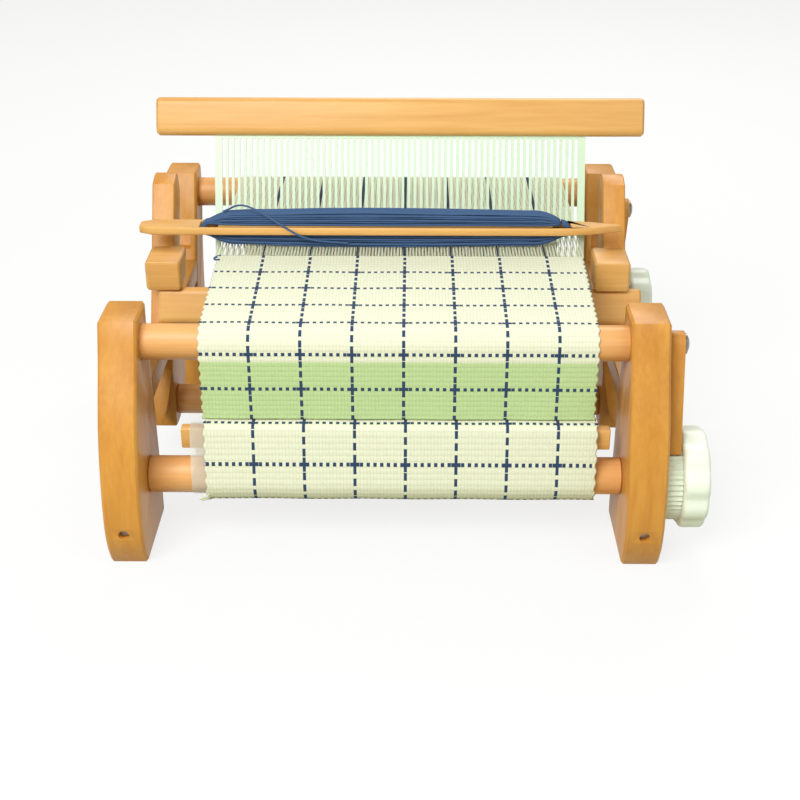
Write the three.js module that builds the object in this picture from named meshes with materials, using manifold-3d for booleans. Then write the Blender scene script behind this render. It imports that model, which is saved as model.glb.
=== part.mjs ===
// Table loom with a rigid heddle, a stick shuttle and a web on its beams
// Millimetres, +Z up, the weaver sits on the -Y side; made in the loom's own frame, then centred
import * as THREE from "three";
import { mergeGeometries, mergeVertices } from "three/addons/utils/BufferGeometryUtils.js";
import Module from "manifold-3d";

const wasm = await Module();
wasm.setup();

// Driving sizes of the whole loom
const frameWidth = 556;
const legThickness = 38;
const legHeight = 247;
const beamSpan = 426;
const gap = 0.3;
const overrun = 4;
const edgeRound = 2.5;

// Front leg: depth, and its outline as shares of depth and height
const frontLegDepth = 121;
const frontLegTopShare = 0.504;
const frontEdgeShares = [[0.504, 1], [0.36, 0.83], [0.149, 0.619], [0.035, 0.4], [0, 0.202], [0.045, 0.09], [0.14, 0]];
const rearEdgeTopShares = [0.93, 1];
const rearEdgeWaistShares = [0.92, 0.88];
const rearEdgeHeelShares = [1, 0.16];
const soleBackShares = [0.98, 0];

// Rear leg: depth, and its outline as shares of depth and height
const rearLegDepth = 117;
const rearLegHeight = 260;
const rearLegFrontShares = [[0.64, 1], [0.34, 0.673]];
const rearLegKneeShares = [0.12, 0.42];
const rearLegShinShares = [[0, 0.2], [0.02, 0]];
const rearLegBackShares = [[0.66, 0], [0.69, 0.23], [0.73, 0.47], [0.79, 0.61], [0.88, 0.74], [0.985, 0.88], [0.98, 1]];
const rearLegSetBack = 23;

// Fixed beams
const breastBeamRadius = 18;
const breastBeamHeight = 217;
const breastBeamSetBack = 20;
const backBeamRadius = 17.5;
const backBeamHeight = 229;
const stretcherRadius = 17;
const beamSocket = 20;

// Turning beams, their spindles and what sits on them
const rollerRadius = 19;
const spindleRadius = 10;
const spindleRun = 0.6;
const spindleBlind = 24;
const clothBeamHeight = 75;
const clothBeamLead = 15;
const warpBeamHeight = 92;
const warpBeamLead = 46;
const ratchetRadius = 44;
const toothDepth = 3.5;
const toothCount = 48;
const ratchetWidth = 18.4;
const knobRadius = 52;
const knobScallop = 3;
const knobLobes = 10;
const knobWidth = 26;
const knobRecess = 6;
const knobRecessRadius = 14;
const knobScrewRadius = 3;
const knobScrewHead = 7;
const knobScrewHeadHeight = 3.6;
const knobScrewLength = 20;
const knobWeb = 3;

// Pawls
const pawlWidth = 16;
const pawlRadius = 13;
const pawlTipInset = 0.8;
const pawlTipReach = 4;
const pawlTipHalf = 3;
const rearPawlLead = 21;
const rearPawlDrop = 14;
const pawlScrewRadius = 3;
const pawlScrewHead = 10.5;
const pawlScrewHeadHeight = 4.6;
const pawlScrewDepth = 11;
const toothPitch = (2 * Math.PI) / toothCount;
const frontPawlTooth = 16;
const rearPawlTooth = 4;

// Stands, rails and jaws
const standWidth = 25;
const standInset = 13;
const standTop = 297;
const standTopSetBack = 269;
const standTip = 60;
const standTipSetBack = 138.5;
const standHeadDepth = 33;
const standHeelSetBack = 249;
const standHeelHeight = 75;
const standWaistSetBack = 262;
const standWaistHeight = 190;
const standSoleHeight = 44;
const tongueHeight = 62;
const tongueDepth = 30;
const railTop = 161;
const railHeight = 24;
const jawWidth = 39;
const jawBottom = 203;
const jawHeight = 33;
const jawFront = 185;
const stretcherSetBack = 193;
const stretcherHeight = 66;
const legSocketSize = 24;
const legSocketDepth = 12;
const legSocketHeight = 173.5;
const legSocketShift = 1;

// Foot bolts in the front edges of the front legs
const footBoltBore = 5.5;
const footBoltDepth = 30;
const footBoltSunk = 8;
const footBoltHeight = 41;
const footBoltShank = 3;

// Heddle
const weavingWidth = 400;
const dentCount = 60;
const warpCentre = 13;
const heddleLeanDegrees = 21.9;
const heddleSetBack = 192;
const heddleHeight = 182;
const heddleSpan = 207;
const barLength = 532;
const barHeight = 41;
const barThickness = 20;
const barCorner = 8;
const barGroove = 8;
const reedThickness = 3;
const reedBarWidth = 3;
const reedRim = 3;
const eyeWidth = 1.7;
const eyeHeight = 10;
const heddleScrewRadius = 2.6;
const heddleScrewDepth = 9;
const heddleScrewShare = 0.19;

// Warp and web
const endWidth = 0.8;
const warpThickness = 1.2;
const warpLevel = 247.6;
const fellSetBack = 176;
const fellStrip = 3;
const webThickness = 1.6;
const webWidth = 392;
const webCentre = 14;
const webFall = 143;
const rollCentre = 16;
const rollWrap = 7;
const apronThickness = 0.9;
const apronWidth = 375;
const apronCentre = -7.5;
const rodThickness = 12;
const rodHeight = 22;
const rodLength = 430;
const rodCentre = 11;
const rodRise = 47;
const rodLead = 5;
const warpRollRadius = 34;
const tailHugDegrees = 12;

// Shuttle and its yarn
const shuttleLength = 525;
const shuttleWidth = 28;
const shuttleThickness = 8.5;
const shuttleShift = -7.5;
const shuttleSetBack = 207.5;
const shuttlePointShare = 0.13;
const yarnThickness = 3.4;
const yarnPitch = 3.9;
const yarnAcross = 4;
const yarnLayers = 4;
const yarnClearance = 0.5;
const yarnHalfRun = 181;
const yarnShift = 5;
const yarnSides = 6;
const yarnTurnSteps = 8;
const yarnSlotClearance = 0.8;

// Facets
const roundFacets = 32;
const smallFacets = 24;
const curveFacets = 5;

// Finishes
const beech = new THREE.Color(0.78, 0.52, 0.26);
const plastic = new THREE.Color(0.9, 0.93, 0.88);
const steel = new THREE.Color(0.6, 0.58, 0.55);
const cream = new THREE.Color(0.9, 0.88, 0.76);
const navy = new THREE.Color(0.05, 0.11, 0.24);

const loom = new THREE.Group();

function finish(color, roughness, metalness = 0) {
  return new THREE.MeshStandardMaterial({ color, roughness, metalness });
}

function add(name, geometry, material, parent = loom) {
  const mesh = new THREE.Mesh(geometry, material);
  mesh.name = name;
  parent.add(mesh);
  return mesh;
}

// Solid tools
function toSolid(geometry) {
  const bare = geometry.clone();
  bare.deleteAttribute("normal");
  bare.deleteAttribute("uv");
  const welded = mergeVertices(bare.index ? bare : mergeVertices(bare), 1e-4);
  return new wasm.Manifold(new wasm.Mesh({
    numProp: 3,
    vertProperties: new Float32Array(welded.attributes.position.array),
    triVerts: new Uint32Array(welded.index.array),
  }));
}

function toGeometry(solid) {
  const mesh = solid.getMesh();
  const geometry = new THREE.BufferGeometry();
  geometry.setAttribute("position", new THREE.BufferAttribute(mesh.vertProperties, 3));
  geometry.setIndex(new THREE.BufferAttribute(mesh.triVerts, 1));
  return geometry;
}

function cut(geometry, ...tools) {
  let solid = toSolid(geometry);
  for (const tool of tools) {
    solid = solid.subtract(toSolid(tool));
  }
  return toGeometry(solid);
}

function join(geometry, ...others) {
  let solid = toSolid(geometry);
  for (const other of others) {
    solid = solid.add(toSolid(other));
  }
  return toGeometry(solid);
}

// An outline drawn in (Y, Z) and extruded along X from x0 to x1
function boardX(shape, x0, x1, round = 0) {
  const geometry = new THREE.ExtrudeGeometry(shape, {
    depth: x1 - x0 - 2 * round,
    bevelEnabled: round > 0,
    bevelThickness: round,
    bevelSize: round,
    bevelOffset: -round,
    bevelSegments: 1,
    curveSegments: curveFacets,
  });
  geometry.translate(0, 0, x0 + round);
  const turn = new THREE.Matrix4().makeBasis(
    new THREE.Vector3(0, 1, 0), new THREE.Vector3(0, 0, 1), new THREE.Vector3(1, 0, 0));
  return geometry.applyMatrix4(turn);
}

function rodX(radius, x0, x1, y, z, facets = roundFacets) {
  const geometry = new THREE.CylinderGeometry(radius, radius, x1 - x0, facets);
  geometry.rotateZ(-Math.PI / 2);
  return geometry.translate((x0 + x1) / 2, y, z);
}

// A profile of (radius, place along X) points turned about an axis along X at (y, z)
function turnedX(points, y, z, facets = roundFacets) {
  const profile = points.map(([radius, along]) => new THREE.Vector2(radius, along));
  const geometry = new THREE.LatheGeometry(profile, facets);
  geometry.rotateZ(-Math.PI / 2);
  return geometry.translate(0, y, z);
}

function boxAt(x0, x1, y0, y1, z0, z1) {
  const geometry = new THREE.BoxGeometry(x1 - x0, y1 - y0, z1 - z0);
  return geometry.translate((x0 + x1) / 2, (y0 + y1) / 2, (z0 + z1) / 2);
}

function outline(points) {
  return new THREE.Shape(points.map(([a, b]) => new THREE.Vector2(a, b)));
}

function alongSpline(points, steps = curveFacets) {
  const curve = new THREE.CatmullRomCurve3(points.map(([a, b]) => new THREE.Vector3(a, b, 0)), false, "centripetal");
  return curve.getPoints(steps * (points.length - 1)).map((p) => [p.x, p.y]);
}

// The same piece mirrored to the other side of the loom, with its faces turned back out
function mirrored(geometry) {
  const copy = geometry.clone().applyMatrix4(new THREE.Matrix4().makeScale(-1, 1, 1));
  const flat = copy.index ? copy.toNonIndexed() : copy;
  const place = flat.attributes.position;
  for (let i = 0; i < place.count; i += 3) {
    const a = new THREE.Vector3().fromBufferAttribute(place, i + 1);
    const b = new THREE.Vector3().fromBufferAttribute(place, i + 2);
    place.setXYZ(i + 1, b.x, b.y, b.z);
    place.setXYZ(i + 2, a.x, a.y, a.z);
  }
  flat.deleteAttribute("normal");
  flat.deleteAttribute("uv");
  return mergeVertices(flat, 1e-4);
}

// Shared places
const outerX = frameWidth / 2;
const innerX = outerX - legThickness;
const breastY = breastBeamSetBack;
const backY = breastY + beamSpan;
const clothY = breastY - clothBeamLead;
const warpY = backY - warpBeamLead;
const frontLegFrontY = -frontLegTopShare * frontLegDepth;
const rearLegFrontY = backY + rearLegSetBack - rearLegDepth;
const lean = THREE.MathUtils.degToRad(heddleLeanDegrees);
const wood = () => finish(beech, 0.45);
const white = () => finish(plastic, 0.4);
const metal = () => finish(steel, 0.3, 0.9);

function legPoint([depthShare, heightShare]) {
  return [frontLegFrontY + depthShare * frontLegDepth, heightShare * legHeight];
}

function rearPoint([depthShare, heightShare]) {
  return [rearLegFrontY + depthShare * rearLegDepth, heightShare * rearLegHeight];
}

function onLine([y0, z0], [y1, z1], z) {
  return y0 + ((z - z0) * (y1 - y0)) / (z1 - z0);
}

// Legs
const frontEdge = alongSpline(frontEdgeShares.map(legPoint), 2);
const heel = legPoint(rearEdgeHeelShares);
const waist = legPoint(rearEdgeWaistShares);
const frontLegShape = outline([legPoint(soleBackShares), heel, waist, legPoint(rearEdgeTopShares), ...frontEdge]);
const frontLegRearY = (z) => onLine(heel, waist, z);

const shin = rearLegShinShares.map(rearPoint);
const knee = rearPoint(rearLegKneeShares);
const rearFront = rearLegFrontShares.map(rearPoint);
const rearBack = alongSpline(rearLegBackShares.map(rearPoint), 2);
const rearLegShape = outline([...rearBack, ...rearFront, knee, ...shin]);
const rearLegFrontEdgeY = (z) => onLine(knee, rearFront[1], z);

const frontLegBody = boardX(frontLegShape, innerX, outerX, edgeRound);
const rearLegBody = boardX(rearLegShape, innerX, outerX, edgeRound);
const socketMouth = innerX - overrun;
const breastSocket = rodX(breastBeamRadius + gap, socketMouth, innerX + beamSocket + gap, breastY, breastBeamHeight);
const backSocket = rodX(backBeamRadius + gap, socketMouth, innerX + beamSocket + gap, backY, backBeamHeight);
const throughX = outerX + overrun;
const spindleBore = spindleRadius + spindleRun;
const blindEnd = innerX + spindleBlind + 2 * gap;
const legMidX = (innerX + outerX) / 2;

function footBore(radius, y0, y1) {
  const geometry = new THREE.CylinderGeometry(radius, radius, y1 - y0, smallFacets);
  return geometry.translate(legMidX, (y0 + y1) / 2, footBoltHeight);
}

const footFaceY = frontLegFrontY;
const footHole = footBore(footBoltBore, footFaceY - overrun, footFaceY + footBoltDepth);
const clothBlind = rodX(spindleBore, socketMouth, blindEnd, clothY, clothBeamHeight, smallFacets);
const clothThrough = rodX(spindleBore, socketMouth, throughX, clothY, clothBeamHeight, smallFacets);
const warpBlind = rodX(spindleBore, socketMouth, blindEnd, warpY, warpBeamHeight, smallFacets);
const warpThrough = rodX(spindleBore, socketMouth, throughX, warpY, warpBeamHeight, smallFacets);
const socketFloorY = (z) => onLine(rearFront[1], rearFront[0], z) + legSocketDepth;
const legSocketTop = legSocketHeight + legSocketSize;
const legSocket = boardX(outline([
  [socketFloorY(legSocketHeight) - legSocketSize, legSocketHeight],
  [socketFloorY(legSocketHeight), legSocketHeight],
  [socketFloorY(legSocketTop), legSocketTop],
  [socketFloorY(legSocketTop) - legSocketSize, legSocketTop],
]), legMidX + legSocketShift - legSocketSize / 2, legMidX + legSocketShift + legSocketSize / 2);

// Pawl pivots: on the breast beam's axis in front, below and before the back beam's axis behind
const frontPawlPivot = [breastY, breastBeamHeight];
const rearPawlPivot = [backY - rearPawlLead, backBeamHeight - rearPawlDrop];
function pawlHole([y, z]) {
  return rodX(pawlScrewRadius + gap, outerX - pawlScrewDepth, throughX, y, z, smallFacets);
}

add("front_leg_left", mirrored(cut(frontLegBody, breastSocket, clothBlind, footHole)), wood());
add("front_leg_right", cut(frontLegBody, breastSocket, clothThrough, footHole, pawlHole(frontPawlPivot)), wood());
add("rear_leg_left", mirrored(cut(rearLegBody, backSocket, warpBlind, legSocket)), wood());
add("rear_leg_right", cut(rearLegBody, backSocket, warpThrough, legSocket, pawlHole(rearPawlPivot)), wood());

// Foot bolts, sunk in their holes
const boltHead = footBore(footBoltBore - gap, footFaceY + footBoltSunk, footFaceY + 2 * footBoltSunk);
const boltShank = footBore(footBoltShank, footFaceY + footBoltSunk + overrun, footFaceY + footBoltDepth - gap);
const footBolt = join(boltHead, boltShank);
add("foot_bolt_left", mirrored(footBolt), metal());
add("foot_bolt_right", footBolt, metal());

// Fixed dowels
const socketEnd = innerX + beamSocket;
add("breast_beam", rodX(breastBeamRadius, -socketEnd, socketEnd, breastY, breastBeamHeight), wood());
add("back_beam", rodX(backBeamRadius, -socketEnd, socketEnd, backY, backBeamHeight), wood());

// Stands with their tongues, in the plane just inside the legs' outer faces
const standOuterX = outerX - standInset;
const standInnerX = standOuterX - standWidth;
const standFrontY = (z) => onLine([standTipSetBack, standTip], [standTopSetBack, standTop], z);
const standRearY = (z) => onLine([standHeelSetBack, standHeelHeight], [standWaistSetBack, standWaistHeight], z);
const headRound = standHeadDepth / 2;
const standShape = outline([
  ...alongSpline([
    [standFrontY(standTip), standTip],
    [(standTipSetBack + stretcherSetBack) / 2, standSoleHeight],
    [stretcherSetBack + stretcherRadius, standSoleHeight],
    [standHeelSetBack, standHeelHeight],
  ], 3),
  [standWaistSetBack, standWaistHeight],
  ...alongSpline([
    [standTopSetBack + standHeadDepth, standTop - headRound],
    [standTopSetBack + headRound + headRound / 2, standTop + headRound / 3],
    [standTopSetBack, standTop],
  ], 3),
]);
const standBody = boardX(standShape, standInnerX, standOuterX, edgeRound / 2);

// The tongue: the front of the stand's lower end narrows to a round tip
function tongueSide(side) {
  const half = standWidth / 2 + overrun;
  const centreX = (standInnerX + standOuterX) / 2;
  const steps = curveFacets + curveFacets;
  const curve = [];
  for (let i = 0; i <= steps; i += 1) {
    const rise = i / steps;
    curve.push([centreX + side * (standWidth / 2) * Math.sqrt(rise), standTip + rise * tongueHeight]);
  }
  const shape = outline([
    [centreX, standSoleHeight - overrun],
    [centreX, standTip],
    ...curve.slice(1),
    [centreX + side * half, standTip + tongueHeight],
    [centreX + side * half, standSoleHeight - overrun],
  ]);
  const depth = tongueDepth + standWidth;
  const geometry = new THREE.ExtrudeGeometry(shape, { depth, bevelEnabled: false });
  geometry.rotateX(Math.PI / 2);
  return geometry.translate(0, standTipSetBack + tongueDepth, 0);
}
const stand = cut(standBody, tongueSide(1), tongueSide(-1));
add("stand_right", stand, wood());
add("stand_left", mirrored(stand), wood());
add("mid_stretcher", rodX(stretcherRadius, gap - standInnerX, standInnerX - gap, stretcherSetBack, stretcherHeight), wood());

// Rails between the legs and the stands
const railBottom = railTop - railHeight;
const frontRail = boardX(outline([
  [frontLegRearY(railBottom) + gap, railBottom],
  [standFrontY(railBottom) - gap, railBottom],
  [standFrontY(railTop) - gap, railTop],
  [frontLegRearY(railTop) + gap, railTop],
]), standInnerX, standOuterX);
const rearRail = boardX(outline([
  [standRearY(railBottom) + gap, railBottom],
  [rearLegFrontEdgeY(railBottom) - gap, railBottom],
  [rearLegFrontEdgeY(railTop) - gap, railTop],
  [standRearY(railTop) + gap, railTop],
]), standInnerX, standOuterX);
add("front_rail_right", frontRail, wood());
add("front_rail_left", mirrored(frontRail), wood());
add("rear_rail_right", rearRail, wood());
add("rear_rail_left", mirrored(rearRail), wood());

// Jaws on the stands' front edges, above the heddle's lower bar
const jaw = boardX(outline([
  [jawFront, jawBottom],
  [standFrontY(jawBottom) - gap, jawBottom],
  [standFrontY(jawBottom + jawHeight) - gap, jawBottom + jawHeight],
  [jawFront, jawBottom + jawHeight],
]), standOuterX - jawWidth, standOuterX, edgeRound);
add("jaw_right", jaw, wood());
add("jaw_left", mirrored(jaw), wood());

// Turning beams with spindles; the right spindle carries the ratchet and the knob
const ratchetX = outerX + 3 * gap;
const knobX = ratchetX + ratchetWidth + gap;
const knobFaceX = knobX + knobWidth;
const spindleEndX = knobFaceX - knobRecess - knobWeb;
const rollerEndX = innerX - gap;
function turningBeam(y, z) {
  return turnedX([
    [0, -innerX - spindleBlind],
    [spindleRadius, -innerX - spindleBlind],
    [spindleRadius, -rollerEndX],
    [rollerRadius, -rollerEndX],
    [rollerRadius, rollerEndX],
    [spindleRadius, rollerEndX],
    [spindleRadius, spindleEndX],
    [knobScrewRadius + gap, spindleEndX],
    [knobScrewRadius + gap, spindleEndX - knobScrewLength],
    [0, spindleEndX - knobScrewLength],
  ], y, z, smallFacets);
}

function ratchetWheel(y, z) {
  const points = [];
  for (let i = 0; i < toothCount; i += 1) {
    const root = i * toothPitch;
    const crest = root + toothPitch / 2;
    const rootRadius = ratchetRadius - toothDepth;
    points.push([rootRadius * Math.cos(root), rootRadius * Math.sin(root)]);
    points.push([ratchetRadius * Math.cos(crest), ratchetRadius * Math.sin(crest)]);
  }
  const body = boardX(outline(points), ratchetX, ratchetX + ratchetWidth);
  const bore = rodX(spindleRadius + gap, ratchetX - overrun, ratchetX + ratchetWidth + overrun, 0, 0, smallFacets);
  return cut(body, bore).translate(0, y, z);
}

function knob(y, z) {
  const points = [];
  const steps = knobLobes * 6;
  for (let i = 0; i < steps; i += 1) {
    const angle = (i / steps) * 2 * Math.PI;
    const radius = knobRadius - knobScallop * (1 + Math.cos(knobLobes * angle)) / 2;
    points.push([radius * Math.cos(angle), radius * Math.sin(angle)]);
  }
  const body = boardX(outline(points), knobX, knobFaceX, edgeRound);
  const recess = rodX(knobRecessRadius, knobFaceX - knobRecess, knobFaceX + overrun, 0, 0);
  const bore = rodX(spindleRadius + gap, knobX - overrun, spindleEndX + gap, 0, 0, smallFacets);
  const screwHole = rodX(knobScrewRadius + gap, knobX, knobFaceX, 0, 0, smallFacets);
  return cut(body, recess, bore, screwHole).translate(0, y, z);
}

function knobScrew(y, z) {
  const seat = knobFaceX - knobRecess + gap;
  return turnedX([
    [0, spindleEndX - knobScrewLength + gap],
    [knobScrewRadius, spindleEndX - knobScrewLength + gap],
    [knobScrewRadius, seat],
    [knobScrewHead, seat],
    [knobScrewHead, seat + knobScrewHeadHeight / 2],
    [knobScrewHead / 2, seat + knobScrewHeadHeight],
    [0, seat + knobScrewHeadHeight],
  ], y, z, smallFacets);
}

for (const [name, y, z] of [["cloth", clothY, clothBeamHeight], ["warp", warpY, warpBeamHeight]]) {
  add(`${name}_beam`, turningBeam(y, z), wood());
  add(`${name}_ratchet`, ratchetWheel(y, z), white());
  add(`${name}_knob`, knob(y, z), white());
  add(`${name}_knob_screw`, knobScrew(y, z), metal());
}

// Pawls: a round head on its pivot, narrowing to a tip that lies in a groove of the wheel
const pawlX = outerX + 3 * gap;
function pawl([pivotY, pivotZ], wheelY, wheelZ, tooth) {
  const angle = tooth * toothPitch;
  const onWheel = (radius, aside) => [
    wheelY + radius * Math.cos(angle) - aside * Math.sin(angle),
    wheelZ + radius * Math.sin(angle) + aside * Math.cos(angle),
  ];
  const tip = onWheel(ratchetRadius - toothDepth + pawlTipInset, 0);
  const shoulders = [-pawlTipHalf, pawlTipHalf].map((aside) => onWheel(ratchetRadius + pawlTipReach, aside));
  const upward = Math.atan2(pivotZ - tip[1], pivotY - tip[0]);
  const head = [];
  const steps = smallFacets / 2;
  for (let i = 0; i <= steps; i += 1) {
    const turn = upward + (i / steps - 1 / 2) * Math.PI;
    head.push([pivotY + pawlRadius * Math.cos(turn), pivotZ + pawlRadius * Math.sin(turn)]);
  }
  const body = boardX(outline([tip, shoulders[0], ...head, shoulders[1]]), pawlX, pawlX + pawlWidth);
  const bore = rodX(pawlScrewRadius + 2 * gap, pawlX - overrun, pawlX + pawlWidth + overrun, pivotY, pivotZ, smallFacets);
  return cut(body, bore);
}

function distance([a, b], [c, d]) {
  return Math.hypot(a - c, b - d);
}

function pawlScrew([y, z]) {
  const seat = pawlX + pawlWidth + gap;
  return turnedX([
    [0, outerX - pawlScrewDepth + gap],
    [pawlScrewRadius, outerX - pawlScrewDepth + gap],
    [pawlScrewRadius, seat],
    [pawlScrewHead, seat],
    [pawlScrewHead, seat + pawlScrewHeadHeight / 2],
    [pawlScrewHead / 2, seat + pawlScrewHeadHeight],
    [0, seat + pawlScrewHeadHeight],
  ], y, z, smallFacets);
}

add("front_pawl", pawl(frontPawlPivot, clothY, clothBeamHeight, frontPawlTooth), wood());
add("rear_pawl", pawl(rearPawlPivot, warpY, warpBeamHeight, rearPawlTooth), wood());
add("front_pawl_screw", pawlScrew(frontPawlPivot), white());
add("rear_pawl_screw", pawlScrew(rearPawlPivot), white());

// Heddle, made upright about its lower bar's centre and leant back as one group
const heddle = new THREE.Group();
heddle.position.set(warpCentre, heddleSetBack, heddleHeight);
heddle.rotation.x = -lean;
loom.add(heddle);
const dentPitch = weavingWidth / dentCount;

function roundedBar(centreZ) {
  const shape = new THREE.Shape();
  const y = barThickness / 2;
  const z = barHeight / 2;
  shape.moveTo(-y + barCorner, -z);
  shape.lineTo(y - barCorner, -z);
  shape.absarc(y - barCorner, -z + barCorner, barCorner, -Math.PI / 2, 0);
  shape.absarc(y - barCorner, z - barCorner, barCorner, 0, Math.PI / 2);
  shape.absarc(-y + barCorner, z - barCorner, barCorner, Math.PI / 2, Math.PI);
  shape.absarc(-y + barCorner, -z + barCorner, barCorner, Math.PI, 1.5 * Math.PI);
  return boardX(shape, -barLength / 2, barLength / 2, edgeRound).translate(0, 0, centreZ);
}

const reedHalf = weavingWidth / 2 + reedRim;
const reedBottom = barHeight / 2 - barGroove;
const reedTop = heddleSpan - barHeight / 2 + barGroove;
const groove = reedThickness / 2 + gap;
const screwX = barLength * heddleScrewShare;
const barTop = heddleSpan + barHeight / 2;
const lowerGroove = boxAt(-reedHalf - gap, reedHalf + gap, -groove, groove, reedBottom - gap, barHeight);
const upperGroove = boxAt(-reedHalf - gap, reedHalf + gap, -groove, groove, reedTop - barHeight, reedTop + gap);
function heddleScrewShape(x, radius, z0, z1) {
  const geometry = new THREE.CylinderGeometry(radius, radius, z1 - z0, smallFacets / 2);
  geometry.rotateX(Math.PI / 2);
  return geometry.translate(x, 0, (z0 + z1) / 2);
}
const screwFoot = barTop - heddleScrewDepth;
const screwHoles = [-screwX, screwX].map(
  (x) => heddleScrewShape(x, heddleScrewRadius + gap, screwFoot - gap, barTop + overrun));
add("heddle_lower_bar", cut(roundedBar(0), lowerGroove), wood(), heddle);
add("heddle_upper_bar", cut(roundedBar(heddleSpan), upperGroove, ...screwHoles), wood(), heddle);
add("heddle_screw_left", heddleScrewShape(-screwX, heddleScrewRadius, screwFoot, barTop), metal(), heddle);
add("heddle_screw_right", heddleScrewShape(screwX, heddleScrewRadius, screwFoot, barTop), metal(), heddle);

// Reed: a comb of bars, each with an eye at the warp's level, and a slot between neighbours
const eyeRise = (warpLevel - heddleHeight) / Math.cos(lean);
const slotBottom = barHeight / 2 + reedRim;
const slotTop = heddleSpan - barHeight / 2 - reedRim;
const dentX = (i) => (i - (dentCount - 1) / 2) * dentPitch;
const dentCuts = [];
for (let i = 0; i < dentCount; i += 1) {
  dentCuts.push(boxAt(dentX(i) - eyeWidth / 2, dentX(i) + eyeWidth / 2, -reedThickness, reedThickness,
    eyeRise - eyeHeight / 2, eyeRise + eyeHeight / 2));
  if (i > 0) {
    dentCuts.push(boxAt(dentX(i - 1) + reedBarWidth / 2, dentX(i) - reedBarWidth / 2, -reedThickness, reedThickness,
      slotBottom, slotTop));
  }
}
const reedPlate = boxAt(-reedHalf, reedHalf, -reedThickness / 2, reedThickness / 2, reedBottom, reedTop);
const reed = cut(reedPlate, mergeGeometries(dentCuts));
add("reed", reed, white(), heddle);

// Warp: one end through every eye and every slot, from the fell to the back beam
const endCount = 2 * dentCount - 1;
const endPitch = dentPitch / 2;
const endX = (i) => warpCentre + (i - (endCount - 1) / 2) * endPitch;
const warpBackY = backY - backBeamRadius;
const warpX0 = endX(0) - endWidth / 2;
const warpX1 = endX(endCount - 1) + endWidth / 2;
const warpCuts = [];
for (let i = 1; i < endCount; i += 1) {
  warpCuts.push(boxAt(endX(i - 1) + endWidth / 2, endX(i) - endWidth / 2, fellSetBack + fellStrip,
    warpBackY - fellStrip, warpLevel - warpThickness, warpLevel + warpThickness));
}
const warpPlate = boxAt(warpX0, warpX1, fellSetBack, warpBackY, warpLevel - warpThickness / 2, warpLevel + warpThickness / 2);
const warp = cut(warpPlate, mergeGeometries(warpCuts));
add("warp", warp, finish(cream, 0.9));

// A strip of cloth or warp that follows (Y, Z) points, with its thickness to the left of the way
function stripX(points, thickness, x0, x1) {
  const offset = points.map((point, i) => {
    const before = points[Math.max(i - 1, 0)];
    const after = points[Math.min(i + 1, points.length - 1)];
    const along = distance(before, after);
    return [point[0] - (thickness * (after[1] - before[1])) / along, point[1] + (thickness * (after[0] - before[0])) / along];
  });
  const closed = [...points, ...offset.reverse()];
  if (THREE.ShapeUtils.isClockWise(outline(closed).getPoints())) {
    closed.reverse();
  }
  return boardX(outline(closed), x0, x1);
}

function arc(y, z, radius, from, to, steps) {
  const points = [];
  for (let i = 0; i <= steps; i += 1) {
    const angle = THREE.MathUtils.degToRad(from + ((to - from) * i) / steps);
    points.push([y + radius * Math.cos(angle), z + radius * Math.sin(angle)]);
  }
  return points;
}

// The direction, in degrees, in which a straight run that is tangent to two circles faces outward
function tangentDegrees([y0, z0], radius0, [y1, z1], radius1, side) {
  const between = Math.hypot(y1 - y0, z1 - z0);
  const turn = Math.acos((radius0 - radius1) / between);
  return THREE.MathUtils.radToDeg(Math.atan2(z1 - z0, y1 - y0) + side * turn);
}

// Warp tail: over the back beam and down to the warp roll
const backWrap = backBeamRadius + gap;
const rollHug = warpRollRadius + gap;
const warpBottom = warpLevel - warpThickness / 2;
const tailNormal = tangentDegrees([backY, backBeamHeight], backWrap, [warpY, warpBeamHeight], rollHug, 1);
const warpTail = stripX([
  [warpBackY + gap, warpBottom],
  ...arc(backY, backBeamHeight, backWrap, 90, tailNormal, 10),
  ...arc(warpY, warpBeamHeight, rollHug, tailNormal, tailNormal - tailHugDegrees, 3),
], warpThickness, warpX0, warpX1);
add("warp_tail", warpTail, finish(cream, 0.9));

const warpRoll = rodX(warpRollRadius, warpX0, warpX1, warpY, warpBeamHeight, smallFacets);
const warpRollBore = rodX(rollerRadius + gap, warpX0 - overrun, warpX1 + overrun, warpY, warpBeamHeight, smallFacets);
add("warp_roll", cut(warpRoll, warpRollBore), finish(cream, 0.9));

// Web: from the fell over the breast beam, then hanging to the top of the roll
const breastWrap = breastBeamRadius + gap;
const webX0 = webCentre - webWidth / 2;
const webX1 = webCentre + webWidth / 2;
const webBottom = warpLevel - webThickness / 2;
const web = stripX([
  [fellSetBack - gap, webBottom],
  ...arc(breastY, breastBeamHeight, breastWrap, 86, 180, 8),
  [breastY - breastWrap, webFall],
], -webThickness, webX0, webX1);
add("cloth_web", web, finish(cream, 0.9));

// Round the cloth beam and the rod above it: the tight loop that cloth and apron follow
const rodY = clothY - rodLead;
const rodZ = clothBeamHeight + rodRise;
function loopRound(offset) {
  const top = rodZ + rodHeight / 2;
  const back = rodY + rodThickness / 2;
  const front = rodY - rodThickness / 2;
  const beam = [clothY, clothBeamHeight];
  const backNormal = tangentDegrees(beam, rollerRadius, [back, top], 0, -1);
  const frontNormal = tangentDegrees(beam, rollerRadius, [front, top], 0, 1);
  return outline([
    ...arc(clothY, clothBeamHeight, rollerRadius + offset, frontNormal, 360 + backNormal, 18),
    ...arc(back, top, offset, backNormal, 90, 3),
    ...arc(front, top, offset, 90, frontNormal, 3),
  ]);
}
function sleeve(outer, inner, centre, width) {
  const x0 = centre - width / 2;
  const x1 = centre + width / 2;
  return cut(boardX(loopRound(outer), x0, x1), boardX(loopRound(inner), x0 - overrun, x1 + overrun));
}
const apronOffset = gap + apronThickness;
add("apron", sleeve(apronOffset, gap, apronCentre, apronWidth), finish(plastic, 0.2));
add("cloth_roll", sleeve(rollWrap, apronOffset + gap, rollCentre, webWidth), finish(cream, 0.9));
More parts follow.
